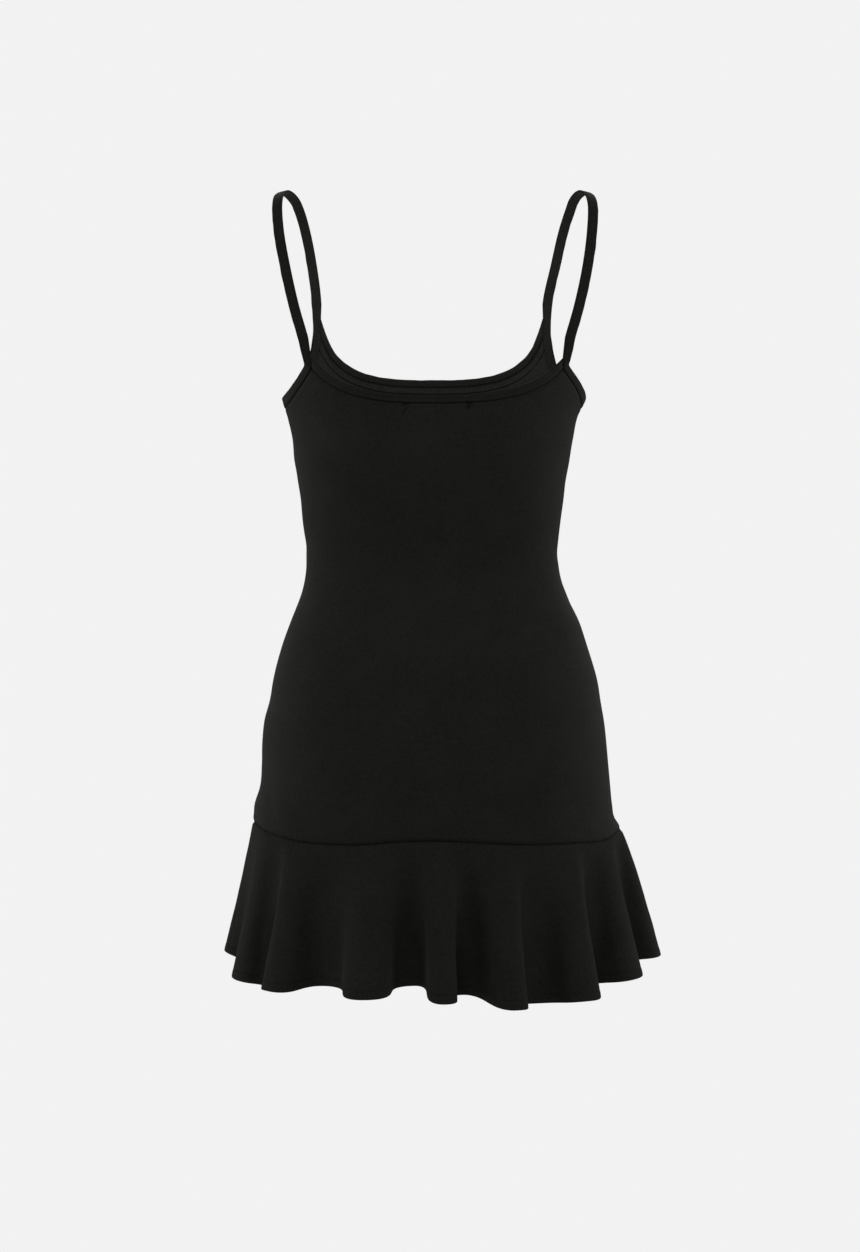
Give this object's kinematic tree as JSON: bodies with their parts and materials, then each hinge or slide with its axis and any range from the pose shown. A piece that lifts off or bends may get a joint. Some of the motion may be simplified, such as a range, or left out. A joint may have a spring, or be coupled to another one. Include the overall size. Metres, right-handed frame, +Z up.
{
  "type": "bodycon dress",
  "caption": "Fitted black stretch-jersey mini dress with thin straps, a scoop neck and a frill hem, hollow and filled out as worn.",
  "frame": {"origin": "midway between the tops of the two straps, where the wearer's shoulders hold the dress up", "axes": "+Z up along the dress, +Y out of its back, -Y out of its front, +X to the wearer's left"},
  "size_m": [0.428, 0.3371, 0.7759],
  "materials": {
    "black_jersey": "matt fine-rib stretch jersey",
    "black_binding": "matt folded jersey strip"
  },
  "bodies": {
    "root": {"back_panel": "black_jersey", "front_panel": "black_jersey", "back_flounce": "black_jersey", "front_flounce": "black_jersey", "back_neck_binding": "black_binding", "front_neck_binding": "black_binding", "left_armhole_strap": "black_binding", "right_armhole_strap": "black_binding"}
  },
  "joints": []
}
